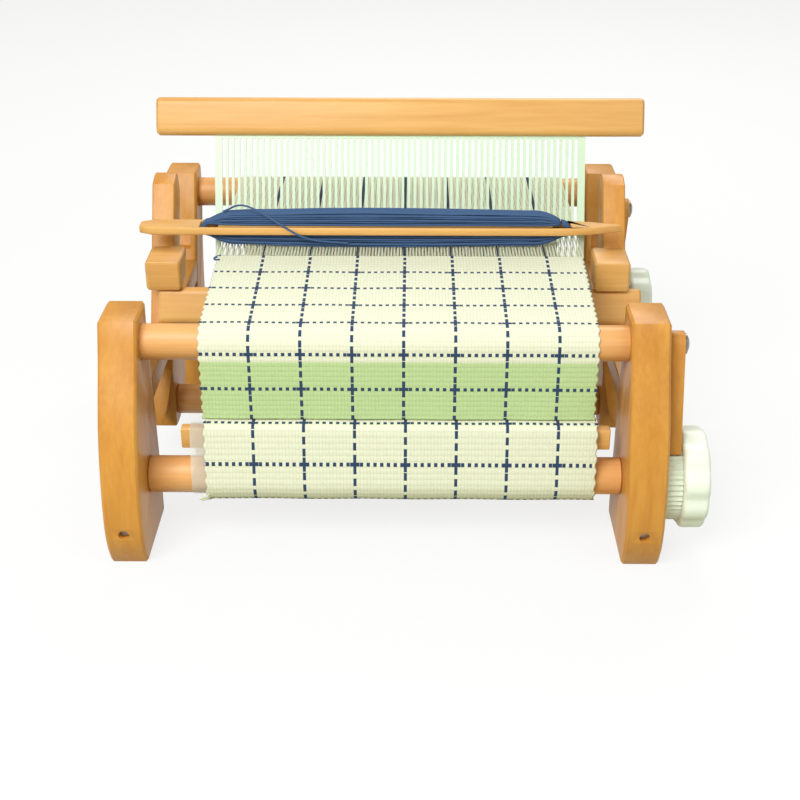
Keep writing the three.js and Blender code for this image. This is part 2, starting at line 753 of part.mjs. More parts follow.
add("apron_rod", boxAt(rodCentre - rodLength / 2, rodCentre + rodLength / 2, rodY - rodThickness / 2,
  rodY + rodThickness / 2, rodZ - rodHeight / 2, rodZ + rodHeight / 2), wood());

// Yarn on the shuttle: one unbroken tube in long loops that pass through two slots of the board
const boardHalf = shuttleThickness / 2;
const yarnInner = boardHalf + yarnClearance + yarnThickness / 2;
const yarnOuter = yarnInner + (yarnLayers - 1) * yarnPitch + yarnThickness / 2;
const shuttleZ = warpLevel + warpThickness / 2 + gap + yarnOuter;

// Half a loop round one end of the board; it may climb from one layer to the next on the way
function yarnEnd(side, lane, radius0, radius1) {
  const across = (lane - (yarnAcross - 1) / 2) * yarnPitch;
  const points = [];
  for (let step = 0; step <= yarnTurnSteps; step += 1) {
    const way = step / yarnTurnSteps;
    const angle = (1 / 2 - way) * Math.PI;
    const radius = radius0 + way * (radius1 - radius0);
    points.push(new THREE.Vector3(side * (yarnHalfRun + radius * Math.cos(angle)), across, side * radius * Math.sin(angle)));
  }
  return points;
}

const yarnPath = [];
for (let layer = 0; layer < yarnLayers; layer += 1) {
  const radius = yarnInner + layer * yarnPitch;
  const direction = layer % 2 === 0 ? 1 : -1;
  for (let turn = 0; turn < yarnAcross; turn += 1) {
    const lane = direction === 1 ? turn : yarnAcross - 1 - turn;
    const climbs = turn === yarnAcross - 1 && layer < yarnLayers - 1;
    yarnPath.push(...yarnEnd(1, lane, radius, radius));
    yarnPath.push(...yarnEnd(-1, lane + direction / 2, radius, climbs ? radius + yarnPitch : radius));
  }
}

function tube(path, radius, sides) {
  const place = [];
  const faces = [];
  path.forEach((point, i) => {
    const along = path[Math.min(i + 1, path.length - 1)].clone().sub(path[Math.max(i - 1, 0)]).normalize();
    const out = along.clone().cross(new THREE.Vector3(0, 1, 0)).normalize();
    const flat = out.clone().cross(along).normalize();
    for (let k = 0; k < sides; k += 1) {
      const angle = (2 * Math.PI * k) / sides;
      const corner = point.clone().addScaledVector(out, radius * Math.cos(angle)).addScaledVector(flat, radius * Math.sin(angle));
      place.push(corner.x, corner.y, corner.z);
    }
  });
  for (let i = 0; i < path.length - 1; i += 1) {
    for (let k = 0; k < sides; k += 1) {
      const a = i * sides + k;
      const b = i * sides + ((k + 1) % sides);
      faces.push(a, a + sides, b, b, a + sides, b + sides);
    }
  }
  const last = (path.length - 1) * sides;
  for (let k = 1; k < sides - 1; k += 1) {
    faces.push(0, k, k + 1);
    faces.push(last, last + k + 1, last + k);
  }
  const geometry = new THREE.BufferGeometry();
  geometry.setAttribute("position", new THREE.BufferAttribute(new Float32Array(place), 3));
  geometry.setIndex(faces);
  return geometry;
}

// Least distance between the yarn's own turns, measured on points at least a quarter loop apart
function leastSelfGap(path, radius) {
  const perLoop = 2 * (yarnTurnSteps + 1);
  let least = Infinity;
  for (let i = 0; i < path.length - 1; i += 1) {
    for (let j = i + perLoop / 2; j < path.length - 1; j += 1) {
      least = Math.min(least, segmentDistance(path[i], path[i + 1], path[j], path[j + 1]));
    }
  }
  return least - 2 * radius;
}

function segmentDistance(a, b, c, d) {
  const samples = 8;
  let least = Infinity;
  const line = new THREE.Line3(c, d);
  const nearest = new THREE.Vector3();
  for (let k = 0; k <= samples; k += 1) {
    const point = a.clone().lerp(b, k / samples);
    line.closestPointToPoint(point, true, nearest);
    least = Math.min(least, point.distanceTo(nearest));
  }
  return least;
}

const shuttle = new THREE.Group();
shuttle.position.set(shuttleShift, shuttleSetBack, shuttleZ);
loom.add(shuttle);
const yarn = tube(yarnPath, yarnThickness / 2, yarnSides);
add("shuttle_yarn", yarn.translate(yarnShift, 0, 0), finish(navy, 0.9), shuttle);
console.log("least gap between the yarn's turns, mm", leastSelfGap(yarnPath, yarnThickness / 2).toFixed(2));

const halfLength = shuttleLength / 2;
const halfWidth = shuttleWidth / 2;
const point = shuttleLength * shuttlePointShare;
const shuttleShape = outline([
  [-halfLength, -halfWidth / 2],
  [-halfLength + halfWidth, -halfWidth],
  [halfLength - point, -halfWidth],
  [halfLength - point / 2, -halfWidth * 0.72],
  [halfLength, 0],
  [halfLength - point / 2, halfWidth * 0.72],
  [halfLength - point, halfWidth],
  [-halfLength + halfWidth, halfWidth],
  [-halfLength, halfWidth / 2],
]);
function hole(shape, x0, x1, z0, z1) {
  shape.holes.push(new THREE.Path([[x0, z0], [x0, z1], [x1, z1], [x1, z0]].map(([a, b]) => new THREE.Vector2(a, b))));
}
const slotHalf = (yarnAcross * yarnPitch + yarnThickness) / 2 + yarnSlotClearance;
for (const side of [1, -1]) {
  const near = side * (yarnHalfRun + yarnSlotClearance) + yarnShift;
  const far = side * (yarnHalfRun + yarnOuter + yarnSlotClearance) + yarnShift;
  hole(shuttleShape, Math.min(near, far), Math.max(near, far), -slotHalf, slotHalf);
}
const shuttleRound = edgeRound / 2;
const shuttleBoard = new THREE.ExtrudeGeometry(shuttleShape, {
  depth: shuttleThickness - 2 * shuttleRound,
  bevelEnabled: true,
  bevelThickness: shuttleRound,
  bevelSize: shuttleRound / 2,
  bevelOffset: -shuttleRound / 2,
  bevelSegments: 1,
});
add("shuttle", shuttleBoard.translate(0, 0, -boardHalf + shuttleRound), wood(), shuttle);

// Centre the footprint: the origin is the middle of the loom's box, on the table
const box = new THREE.Box3().setFromObject(loom);
loom.position.set(-(box.min.x + box.max.x) / 2, -(box.min.y + box.max.y) / 2, -box.min.z);

export default loom;
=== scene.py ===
import math

import bmesh
import bpy
import numpy as np
from bpy.props import FloatProperty, FloatVectorProperty, IntProperty, PointerProperty
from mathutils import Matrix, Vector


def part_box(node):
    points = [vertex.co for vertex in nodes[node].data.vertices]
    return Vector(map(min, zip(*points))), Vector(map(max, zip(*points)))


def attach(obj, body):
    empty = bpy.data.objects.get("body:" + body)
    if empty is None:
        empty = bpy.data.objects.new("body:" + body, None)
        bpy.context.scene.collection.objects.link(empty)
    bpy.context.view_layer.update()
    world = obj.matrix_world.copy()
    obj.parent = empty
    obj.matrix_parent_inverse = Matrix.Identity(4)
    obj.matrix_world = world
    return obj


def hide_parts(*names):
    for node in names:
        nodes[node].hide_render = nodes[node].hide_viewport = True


bl_info = {
    "name": "Table loom",
    "version": (1, 0, 0),
    "blender": (4, 5, 0),
    "location": "View3D > Sidebar > Loom",
    "description": "Dresses a table loom with wood, woven cloth, warp threads and yarn",
    "category": "Add Mesh",
}

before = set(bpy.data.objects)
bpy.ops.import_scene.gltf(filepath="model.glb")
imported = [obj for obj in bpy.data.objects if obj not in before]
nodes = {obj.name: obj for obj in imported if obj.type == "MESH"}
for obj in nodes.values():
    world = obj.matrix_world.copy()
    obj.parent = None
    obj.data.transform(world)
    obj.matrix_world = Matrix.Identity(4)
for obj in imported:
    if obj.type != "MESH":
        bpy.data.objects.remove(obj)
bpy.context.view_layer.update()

# The loom's own places, in metres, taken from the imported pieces
MM = 0.001


def middle(name):
    low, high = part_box(name)
    return [(a + b) / 2 for a, b in zip(low, high)]


def half_height(name):
    low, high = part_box(name)
    return (high[2] - low[2]) / 2


BREAST = middle("breast_beam")
BREAST_RADIUS = half_height("breast_beam")
BACK = middle("back_beam")
BACK_RADIUS = half_height("back_beam")
CLOTH_AXIS = middle("cloth_beam")
ROLLER_RADIUS = half_height("cloth_beam")
WARP_AXIS = middle("warp_beam")
WARP_ROLL_RADIUS = half_height("warp_roll")
WARP_LOW, WARP_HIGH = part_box("warp")
WEB_LOW, WEB_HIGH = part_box("cloth_web")
ROLL_LOW, ROLL_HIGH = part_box("cloth_roll")
ROD_LOW, ROD_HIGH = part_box("apron_rod")
YARN_LOW, YARN_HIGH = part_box("shuttle_yarn")


class LoomCloth(bpy.types.PropertyGroup):
    end_pitch: FloatProperty(
        name="End pitch", description="Distance between two warp ends",
        default=0.392 / 116, unit="LENGTH", precision=5)
    pick_pitch: FloatProperty(
        name="Pick pitch", description="Distance between two picks",
        default=0.00537, unit="LENGTH", precision=5)
    check_ends: IntProperty(
        name="Check ends", description="Warp ends from one dark line to the next", default=15)
    check_picks: IntProperty(
        name="Check picks", description="Picks from one dark line to the next", default=7)
    thickness: FloatProperty(
        name="Thickness", description="Thickness of the web",
        default=0.0012, unit="LENGTH", precision=5)
    relief: FloatProperty(
        name="Relief", description="How far each crossing stands out",
        default=0.00026, unit="LENGTH", precision=5)
    ground: FloatVectorProperty(
        name="Ground", description="Colour of the plain ends and picks",
        subtype="COLOR", default=(0.84, 0.85, 0.65))
    line: FloatVectorProperty(
        name="Line", description="Colour of the checked lines",
        subtype="COLOR", default=(0.022, 0.05, 0.12))
    # Painted shade and painted green reflection on the web where it hangs
    painted_hang_shade: FloatVectorProperty(
        name="Shaded", description="Colour of the web where it hangs",
        subtype="COLOR", default=(0.45, 0.65, 0.24))


class LoomWood(bpy.types.PropertyGroup):
    light: FloatVectorProperty(
        name="Light wood", description="Colour of the early wood",
        subtype="COLOR", default=(0.81, 0.46, 0.145))
    dark: FloatVectorProperty(
        name="Dark wood", description="Colour of the grain lines",
        subtype="COLOR", default=(0.67, 0.33, 0.085))
    rounding: FloatProperty(
        name="Rounding", description="Radius of the sanded edges",
        default=0.0012, unit="LENGTH", precision=4)


class LoomYarn(bpy.types.PropertyGroup):
    radius: FloatProperty(
        name="Radius", description="Radius of the yarn on the shuttle",
        default=0.00115, unit="LENGTH", precision=5)
    lanes: IntProperty(name="Lanes", description="Turns side by side on the shuttle", default=6)
    layers: IntProperty(name="Layers", description="Layers of turns on the shuttle", default=6)


class LoomStage(bpy.types.PropertyGroup):
    lens: FloatProperty(
        name="Lens", description="Focal length of the camera, in millimetres", default=63.0)
    pitch: FloatProperty(
        name="Pitch", description="How far the camera looks down",
        default=math.radians(27), subtype="ANGLE")


class Field:
    """A shader socket that adds the nodes of an expression it is used in."""

    def __init__(self, paint, socket):
        self.paint = paint
        self.socket = socket

    def _math(self, operation, *values):
        return self.paint.node("ShaderNodeMath", {"operation": operation}, dict(enumerate(values)))

    def __add__(self, other):
        return self._math("ADD", self, other)

    def __sub__(self, other):
        return self._math("SUBTRACT", self, other)

    def __mul__(self, other):
        return self._math("MULTIPLY", self, other)

    def __truediv__(self, other):
        return self._math("DIVIDE", self, other)

    def __mod__(self, other):
        return self._math("FLOORED_MODULO", self, other)

    def __lt__(self, other):
        return self._math("LESS_THAN", self, other)

    def __gt__(self, other):
        return self._math("GREATER_THAN", self, other)

    def __abs__(self):
        return self._math("ABSOLUTE", self)

    def floor(self):
        return self._math("FLOOR", self)

    def sine(self):
        return self._math("SINE", self)

    def most(self, other):
        return self._math("MAXIMUM", self, other)

    def power(self, other):
        return self._math("POWER", self, other)


class Paint:
    """A material with one Principled shader, built from expressions."""

    def __init__(self, name):
        self.material = bpy.data.materials.new(name)
        self.material.use_nodes = True
        self.tree = self.material.node_tree
        self.shader = next(n for n in self.tree.nodes if n.type == "BSDF_PRINCIPLED")

    def node(self, kind, settings, inputs, output=0):
        node = self.tree.nodes.new(kind)
        for key, value in settings.items():
            setattr(node, key, value)
        for key, value in inputs.items():
            self.feed(node.inputs[key], value)
        return Field(self, node.outputs[output])

    def feed(self, socket, value):
        if isinstance(value, Field):
            self.tree.links.new(value.socket, socket)
        elif hasattr(value, "__len__") and len(value) == 3 and len(socket.default_value) == 4:
            socket.default_value = (*value, 1)
        else:
            socket.default_value = value

    def place(self, output="Object"):
        return self.node("ShaderNodeTexCoord", {}, {}, output)

    def split(self, vector):
        parts = self.node("ShaderNodeSeparateXYZ", {}, {"Vector": vector})
        return [Field(self, socket) for socket in parts.socket.node.outputs]

    def stretched(self, vector, scale):
        return self.node("ShaderNodeMapping", {}, {"Vector": vector, "Scale": scale})

    def noise(self, vector, scale, detail):
        return self.node("ShaderNodeTexNoise", {},
                         {"Vector": vector, "Scale": scale, "Detail": detail})

    def mix(self, factor, first, second):
        return self.node("ShaderNodeMix", {"data_type": "RGBA"},
                         {0: factor, 6: first, 7: second}, 2)

    def clamp(self, value):
        return self.node("ShaderNodeClamp", {}, {0: value})

    def bump(self, height, distance, strength):
        return self.node("ShaderNodeBump", {},
                         {"Height": height, "Distance": distance, "Strength": strength})

    def finish(self, **inputs):
        for key, value in inputs.items():
            self.feed(self.shader.inputs[key.replace("_", " ")], value)
        return self.material


# Bands and fine lines of the grain: how often they repeat in a metre, and how they are mixed
GRAIN_ACROSS = 55.0
GRAIN_ALONG = 3.0
FINE_TIMES = 4
BAND_SHARE = 0.62
FINE_SHARE = 0.38
GRAIN_MIDDLE = 0.36
GRAIN_CONTRAST = 3.2
WOOD_ROUGHNESS = 0.42


def wood(name, axis, light, dark):
    """Beech with its grain along one axis."""
    paint = Paint(name)
    scale = [GRAIN_ACROSS] * 3
    scale[axis] = GRAIN_ALONG
    place = paint.place()
    bands = paint.noise(paint.stretched(place, scale), 1.0, 4.0)
    fine = paint.noise(paint.stretched(place, [FINE_TIMES * s for s in scale]), 1.3, 5.0)
    grain = ((bands * BAND_SHARE + fine * FINE_SHARE) - GRAIN_MIDDLE) * GRAIN_CONTRAST
    return paint.finish(Base_Color=paint.mix(paint.clamp(grain), dark, light),
                        Roughness=WOOD_ROUGHNESS, Normal=paint.bump(fine, 0.0002, 0.35))


def plain(name, colour, roughness, metallic=0.0, **more):
    """One colour all over."""
    paint = Paint(name)
    return paint.finish(Base_Color=colour, Roughness=roughness, Metallic=metallic, **more)


def show(name, vertices, faces, material, smooth=True, uv=None):
    """A new finished piece, with its place in its mesh."""
    mesh = bpy.data.meshes.new(name)
    mesh.from_pydata([tuple(v) for v in vertices], [], [tuple(f) for f in faces])
    if uv is not None:
        layer = mesh.uv_layers.new(name="UVMap")
        corners = np.empty(len(mesh.loops), dtype=np.int32)
        mesh.loops.foreach_get("vertex_index", corners)
        layer.data.foreach_set("uv", np.asarray(uv, dtype=np.float32)[corners].ravel())
    mesh.materials.append(material)
    mesh.polygons.foreach_set("use_smooth", [smooth] * len(mesh.polygons))
    mesh.update()
    piece = bpy.data.objects.new(name, mesh)
    bpy.context.scene.collection.objects.link(piece)
    return piece


def grid_faces(rows, columns, around=False):
    """Faces between rows of points; around joins each row's end to its start."""
    last = columns if around else columns - 1
    faces = []
    for row in range(rows - 1):
        for column in range(last):
            after = (column + 1) % columns
            here, above = row * columns, (row + 1) * columns
            faces.append((here + column, here + after, above + after, above + column))
    return faces


# Sides of a thread, and how many of its radii one repeat of its UV map covers
TUBE_SIDES = 6
UV_RADII = 6


def tube(path, radius):
    """Vertices, faces and UV of a closed round tube along a path of points."""
    path = np.asarray(path, dtype=float)
    along = np.gradient(path, axis=0)
    along /= np.linalg.norm(along, axis=1)[:, None]
    side = np.cross(along[0], (0.3, 1.0, 0.2))
    vertices, uv = [], []
    length = 0.0
    for i, point in enumerate(path):
        side = side - along[i] * side.dot(along[i])
        side /= np.linalg.norm(side)
        up = np.cross(along[i], side)
        if i:
            length += np.linalg.norm(point - path[i - 1])
        for k in range(TUBE_SIDES):
            angle = math.tau * k / TUBE_SIDES
            vertices.append(point + radius * (math.cos(angle) * side + math.sin(angle) * up))
            uv.append((k / TUBE_SIDES, length / (UV_RADII * radius)))
    faces = grid_faces(len(path), TUBE_SIDES, True)
    faces.append(tuple(range(TUBE_SIDES))[::-1])
    faces.append(tuple(range((len(path) - 1) * TUBE_SIDES, len(path) * TUBE_SIDES)))
    return vertices, faces, uv


def tubes(name, paths, radius, material):
    """One piece made of a thread along each path."""
    vertices, faces, uv = [], [], []
    for path in paths:
        more, loops, marks = tube(path, radius)
        faces += [tuple(i + len(vertices) for i in loop) for loop in loops]
        vertices += more
        uv += marks
    return show(name, vertices, faces, material, True, uv)


def arc(centre, radius, start, end, steps):
    """Points (y, z) on an arc about a beam, from one direction in degrees to another."""
    turns = [math.radians(start + (end - start) * i / steps) for i in range(steps + 1)]
    return [(centre[1] + radius * math.cos(turn), centre[2] + radius * math.sin(turn))
            for turn in turns]


def resampled(points, stations):
    """Points and outward normals at distances along a line of (y, z) points, and its length."""
    points = np.asarray(points, dtype=float)
    steps = np.linalg.norm(np.diff(points, axis=0), axis=1)
    reach = np.concatenate([[0.0], np.cumsum(steps)])
    tangents = np.gradient(points, reach, axis=0)
    y = np.interp(stations, reach, points[:, 0])
    z = np.interp(stations, reach, points[:, 1])
    ty = np.interp(stations, reach, tangents[:, 0])
    tz = np.interp(stations, reach, tangents[:, 1])
    size = np.hypot(ty, tz)
    return y, z, tz / size, -ty / size, reach[-1]


def softened(name, material, rounding):
    """A copy of a wooden piece with its edges sanded round."""
    source = nodes[name]
    mesh = source.data.copy()
    work = bmesh.new()
    work.from_mesh(mesh)
    bmesh.ops.remove_doubles(work, verts=work.verts, dist=1e-6)
    bmesh.ops.dissolve_limit(work, angle_limit=math.radians(0.6), verts=work.verts,
                             edges=work.edges)
    work.to_mesh(mesh)
    work.free()
    mesh.materials.clear()
    mesh.materials.append(material)
    mesh.polygons.foreach_set("use_smooth", [True] * len(mesh.polygons))
    piece = bpy.data.objects.new(f"{name}_wood", mesh)
    bpy.context.scene.collection.objects.link(piece)
    bevel = piece.modifiers.new("Sanded edges", "BEVEL")
    bevel.width = rounding
    bevel.segments = 2
    bevel.limit_method = "ANGLE"
    bevel.angle_limit = math.radians(28)
    bevel.harden_normals = True
    return piece


def recolour(name, material):
    """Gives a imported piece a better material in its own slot."""
    piece = nodes[name]
    if not piece.material_slots:
        piece.data.materials.append(material)
    for slot in piece.material_slots:
        slot.link = "OBJECT"
        slot.material = material


# Wooden pieces of each body, by the axis their grain runs along
WOOD_PIECES = {
    "frame": {
        2: ("front_leg_left", "front_leg_right", "rear_leg_left", "rear_leg_right",
            "stand_left", "stand_right"),
        1: ("front_rail_left", "front_rail_right", "rear_rail_left", "rear_rail_right"),
        0: ("jaw_left", "jaw_right", "breast_beam", "back_beam", "mid_stretcher"),
    },
    "cloth_beam_set": {0: ("cloth_beam", "apron_rod")},
    "warp_beam_set": {0: ("warp_beam",)},
    "heddle": {0: ("heddle_upper_bar", "heddle_lower_bar")},
    "front_pawl_arm": {2: ("front_pawl",)},
    "rear_pawl_arm": {2: ("rear_pawl",)},
    "shuttle_stick": {0: ("shuttle",)},
}
# What legs and rails keep of the wood's red, green and blue: painted shade and warm bounce light,
# darker and warmer than the beams
UPRIGHT_SHADE_TONE = (0.86, 0.70, 0.34)
TURNED = ("breast_beam", "back_beam", "mid_stretcher", "cloth_beam", "warp_beam")
ROSY_LIGHT = (0.87, 0.46, 0.17)
ROSY_DARK = (0.71, 0.34, 0.11)


class LOOM_OT_wood(bpy.types.Operator):
    """Frame, beams, heddle bars, pawls, rod and shuttle in beech"""
    bl_idname = "loom.wood"
    bl_label = "Wooden pieces"

    def execute(self, context):
        values = context.scene.loom_wood
        light, dark = list(values.light), list(values.dark)
        # Painted shade: the upright pieces take a darker, warmer copy of the beech
        upright_in_shade = [[c * share for c, share in zip(tone, UPRIGHT_SHADE_TONE)] for tone in (light, dark)]
        grains = {0: wood("beech_x", 0, light, dark),
                  1: wood("beech_y_in_shade", 1, *upright_in_shade),
                  2: wood("beech_z_in_shade", 2, *upright_in_shade)}
        rosy = wood("beech_dowel", 0, ROSY_LIGHT, ROSY_DARK)
        for body, axes in WOOD_PIECES.items():
            for axis, names in axes.items():
                for name in names:
                    material = rosy if name in TURNED else grains[axis]
                    piece = softened(name, material, values.rounding)
                    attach(piece, body)
                    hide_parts(name)
        return {"FINISHED"}


# The knob: its rounded rims, how deep its face is sunk, the web behind it, the hollow from
# behind, the screw's hole, the sunk face's foot, wall and brim, and the scallops round it
KNOB_RIM = 5 * MM
KNOB_DIP = 6 * MM
KNOB_WEB = 2.7 * MM
KNOB_BORE = 10.3 * MM
KNOB_SCREW = 3.4 * MM
KNOB_FACE = (13.2 * MM, 14 * MM, 15 * MM)
KNOB_BRIM = 6 * MM
KNOB_CHAMFER = 1 * MM
KNOB_SCALLOP = 3.4 * MM
KNOB_LOBES = 10
KNOB_SIDES = 160


def knob(name, node, material):
    """A scalloped knob, turned about X, with softly rounded rims and a sunk face."""
    low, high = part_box(node)
    _, y, z = middle(node)
    radius = half_height(node)
    inner, outer = low[0], high[0]
    face = outer - KNOB_DIP
    # Each ring is a radius, a place along X and its share of the scallops' depth
    foot, wall, edge = KNOB_FACE
    rings = [(KNOB_SCREW, face, 0.0), (foot, face, 0.0), (wall, outer - KNOB_CHAMFER, 0.0),
             (edge, outer, 0.0), (radius - KNOB_RIM - KNOB_BRIM, outer, 0.3)]
    for rim, start in ((outer - KNOB_RIM, 0), (inner + KNOB_RIM, 90)):
        for angle in range(start, start + 91, 15):
            turn = math.radians(angle)
            rings.append((radius - KNOB_RIM + KNOB_RIM * math.sin(turn),
                          rim + KNOB_RIM * math.cos(turn), 1 - 0.4 * abs(angle - 90) / 90))
    rings += [(KNOB_BORE + KNOB_CHAMFER, inner, 0.0), (KNOB_BORE, inner + KNOB_CHAMFER, 0.0),
              (KNOB_BORE, face - KNOB_WEB, 0.0), (KNOB_SCREW, face - KNOB_WEB, 0.0)]
    sides = KNOB_SIDES
    vertices = []
    for r, x, share in rings:
        for k in range(sides):
            angle = math.tau * k / sides
            lobe = (0.5 + 0.5 * math.cos(KNOB_LOBES * angle)) ** 1.5
            reach = r - KNOB_SCALLOP * share * lobe
            vertices.append((x, y + reach * math.cos(angle), z + reach * math.sin(angle)))
    faces = grid_faces(len(rings), sides, True)
    last = (len(rings) - 1) * sides
    for k in range(sides):
        faces.append((last + k, last + (k + 1) % sides, (k + 1) % sides, k))
    piece = show(name, vertices, faces, material)
    work = bmesh.new()
    work.from_mesh(piece.data)
    bmesh.ops.recalc_face_normals(work, faces=work.faces)
    work.to_mesh(piece.data)
    work.free()
    crisp = piece.modifiers.new("Crisp rims", "EDGE_SPLIT")
    crisp.split_angle = math.radians(50)
    return piece


class LOOM_OT_fittings(bpy.types.Operator):
    """Knobs, ratchets, reed, clear apron, screws and bolts"""
    bl_idname = "loom.fittings"
    bl_label = "Fittings"

    def execute(self, context):
        # White plastic with a painted green reflection of the backdrop mixed into its colour
        white_and_green_reflection = plain("white_plastic", (0.86, 0.92, 0.80), 0.38, Subsurface_Weight=0.25)
        shader = white_and_green_reflection.node_tree.nodes["Principled BSDF"]
        shader.inputs["Subsurface Radius"].default_value = (0.012, 0.014, 0.01)
        # The reed's white plastic is painted grey-green: painted reflection of the green backdrop
        # seen through and between its teeth
        reed = plain("reed_plastic", (0.62, 0.77, 0.57), 0.35)
        dull = plain("dull_steel", (0.32, 0.28, 0.24), 0.38, 0.9)
        clear = plain("clear_strap", (0.86, 0.84, 0.74), 0.12, Alpha=0.34)
        for side, body in (("cloth", "cloth_beam_set"), ("warp", "warp_beam_set")):
            piece = knob(f"{side}_knob_scalloped", f"{side}_knob", white_and_green_reflection)
            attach(piece, body)
            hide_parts(f"{side}_knob")
            recolour(f"{side}_ratchet", white_and_green_reflection)
            recolour(f"{side}_knob_screw", dull)
        for name in ("front_pawl_screw", "rear_pawl_screw", "heddle_screw_left",
                     "heddle_screw_right", "foot_bolt_left", "foot_bolt_right"):
            recolour(name, dull)
        recolour("reed", reed)
        recolour("apron", clear)
        return {"FINISHED"}


# The end that carries the first dark line, and the stretch at the fell without dark picks
LINE_END = 14
BARE_FELL = 0.01
# Half widths of the dark marks, in threads: dashes, dots, lines and the crosses where they meet
DASH_SHARE = 0.66
DOT_SHARE = 0.5
LINE_END_HALF = 0.46
LINE_PICK_HALF = 0.34
CROSS_ENDS = 1.4
CROSS_PICKS = 1.2
# Between which distances from the fell the web hangs, and how much painted shade and painted green
# reflection it takes there
HANG_START = 0.199
HANG_END = 0.264
HANG_SHADE_SHARE = 0.8
# Light on the threads and shadow between them
SHADE_LOW = 0.82
SHADE_RISE = 0.22
SHADOW_TONE = 0.40
CLOUD_SCALE = 260.0
CLOUD_SHARE = 0.16
FIBRE_SCALE = 900.0
FIBRE_SHARE = 0.35


def off_line(place, check):
    """How many threads a place lies from the nearest dark line."""
    return abs(((place + check / 2) % check) - check / 2)


def woven(name, values):
    """Plain weave with dark lines each way.

    Its UV map is in metres from the left selvedge and the fell."""
    paint = Paint(name)
    across, along, _ = paint.split(paint.place("UV"))
    end_place = across / values.end_pitch
    pick_place = along / values.pick_pitch
    end = end_place.floor()
    pick = pick_place.floor()
    from_end = off_line(end_place - (LINE_END + 0.5), values.check_ends)
    from_pick = off_line(pick_place - 0.5, values.check_picks)
    dash = abs(((pick_place + end + 0.5) % 2) - 1) < DASH_SHARE
    dot = abs(((end_place + pick + 1.5) % 2) - 1) < DOT_SHARE
    past_fell = along > BARE_FELL
    line_end = from_end < LINE_END_HALF
    line_pick = (from_pick < LINE_PICK_HALF) * past_fell
    crossing = ((from_end < CROSS_ENDS) * line_pick
                + (from_pick < CROSS_PICKS) * line_end * past_fell)
    dark = line_end * dash + line_pick * dot + crossing
    swell = (abs((end_place * math.pi).sine()) * abs((pick_place * math.pi).sine())).power(0.5)
    cloud = paint.noise(paint.place(), CLOUD_SCALE, 2.0) * CLOUD_SHARE
    shade = swell * SHADE_RISE + SHADE_LOW - cloud
    # Where the web hangs, its colour takes painted shade and a painted green reflection
    hang = (along > HANG_START) * (along < HANG_END)
    ground = paint.mix(hang * HANG_SHADE_SHARE, list(values.ground), list(values.painted_hang_shade))
    lit = paint.mix(shade, [SHADOW_TONE * c for c in values.ground], ground)
    colour = paint.mix(paint.clamp(dark), lit, list(values.line))
    fibre = paint.noise(paint.stretched(paint.place(), [FIBRE_SCALE] * 3), 1.0, 3.0)
    return paint.finish(Base_Color=colour, Roughness=0.9,
                        Normal=paint.bump(swell + fibre * FIBRE_SHARE, 0.0004, 0.7))


# How far picks push the selvedge in and out, over how many points from each edge
SELVEDGE_PULL = 0.9 * MM
SELVEDGE_POINTS = 3
# Slow waves of the web: their height, and how fast they run across and along
WAVE = 0.25 * MM
WAVE_ACROSS = 61
WAVE_ALONG = 23
WAVE_BEND = 2.0


def cloth(name, x0, x1, stations, profile, values, material, start, fine_until, spread=1.0):
    """A woven sheet whose crossings stand out, laid on a line of (y, z, normal y, normal z).

    The relief and waves end at fine_until; spread sets the picks wider apart."""
    columns = int(round((x1 - x0) / (values.end_pitch / 2))) + 1
    xs = np.linspace(x0, x1, columns)
    y, z, ny, nz = profile
    u = xs - x0
    v = start + stations / spread
    ends = np.sin(u[None, :] / values.end_pitch * math.pi)
    picks = np.sin(v[:, None] / values.pick_pitch * math.pi)
    fine = (stations < fine_until)[:, None]
    edge = np.minimum(np.arange(columns), np.arange(columns)[::-1])
    pull = np.where(edge < SELVEDGE_POINTS, SELVEDGE_PULL, 0.0) * np.sign(xs - (x0 + x1) / 2)
    bend = WAVE_BEND * np.sin(v[:, None] * WAVE_ALONG)
    wave = WAVE * np.sin(u[None, :] * WAVE_ACROSS + bend)
    lift = (np.abs(ends * picks) * values.relief + wave) * fine
    points = np.empty((len(stations), columns, 3))
    points[..., 0] = xs[None, :] + pull[None, :] * picks
    points[..., 1] = y[:, None] + ny[:, None] * lift
    points[..., 2] = z[:, None] + nz[:, None] * lift
    uv = np.empty((len(stations), columns, 2))
    uv[..., 0] = u[None, :]
    uv[..., 1] = v[:, None]
    piece = show(name, points.reshape(-1, 3), grid_faces(len(stations), columns), material,
                 True, uv.reshape(-1, 2))
    body = piece.modifiers.new("Thickness", "SOLIDIFY")
    body.thickness = values.thickness
    body.offset = 0
    return piece


# Rows of points to a pick, how far the web's middle lies off the breast beam, and where it
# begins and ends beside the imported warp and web
STEPS_PER_PICK = 4
WEB_RISE = 1.1 * MM
FELL_BACK = 0.3 * MM
FELL_SINK = 0.1 * MM
WEB_DROP = 1.7 * MM
# The roll: its turns, how far its outer lap stands off the beam, and how much each lap loses
ROLL_TURNS = 2.15
ROLL_OUTER = 6.15 * MM
ROLL_STEP = 1.95 * MM
# Its picks stand wider apart; the laps that are seen are fine and the hidden ones coarse
ROLL_SPREAD = 1.2
ROLL_FINE_LAPS = 1.12
ROLL_COARSE_TIMES = 4
ROLL_WALK_STEPS = 12
ROLL_START_PICKS = 5.6
# The loop of dark yarn, from the web's left edge, the fell and the warp's underside
LOOP_MIDDLE = (3 * MM, -8 * MM, 1.4 * MM)
LOOP_SWING = (6.5 * MM, 6 * MM, 1.2 * MM)
LOOP_RADIUS = 1.1 * MM
# Loose ends at the roll's left edge: their directions about the beam, and ranges of their
# length, droop and rise in millimetres
LOOSE_TURNS = (206, 218, 231, 239, 247, 256)
LOOSE_REACH = (5, 11)
LOOSE_DROOP = (0.5, 2.5)
LOOSE_OUT = (0.2, 1.2)
LOOSE_ROOT = 3 * MM
LOOSE_SKIN = 6.6 * MM
LOOSE_RADIUS = 0.5 * MM


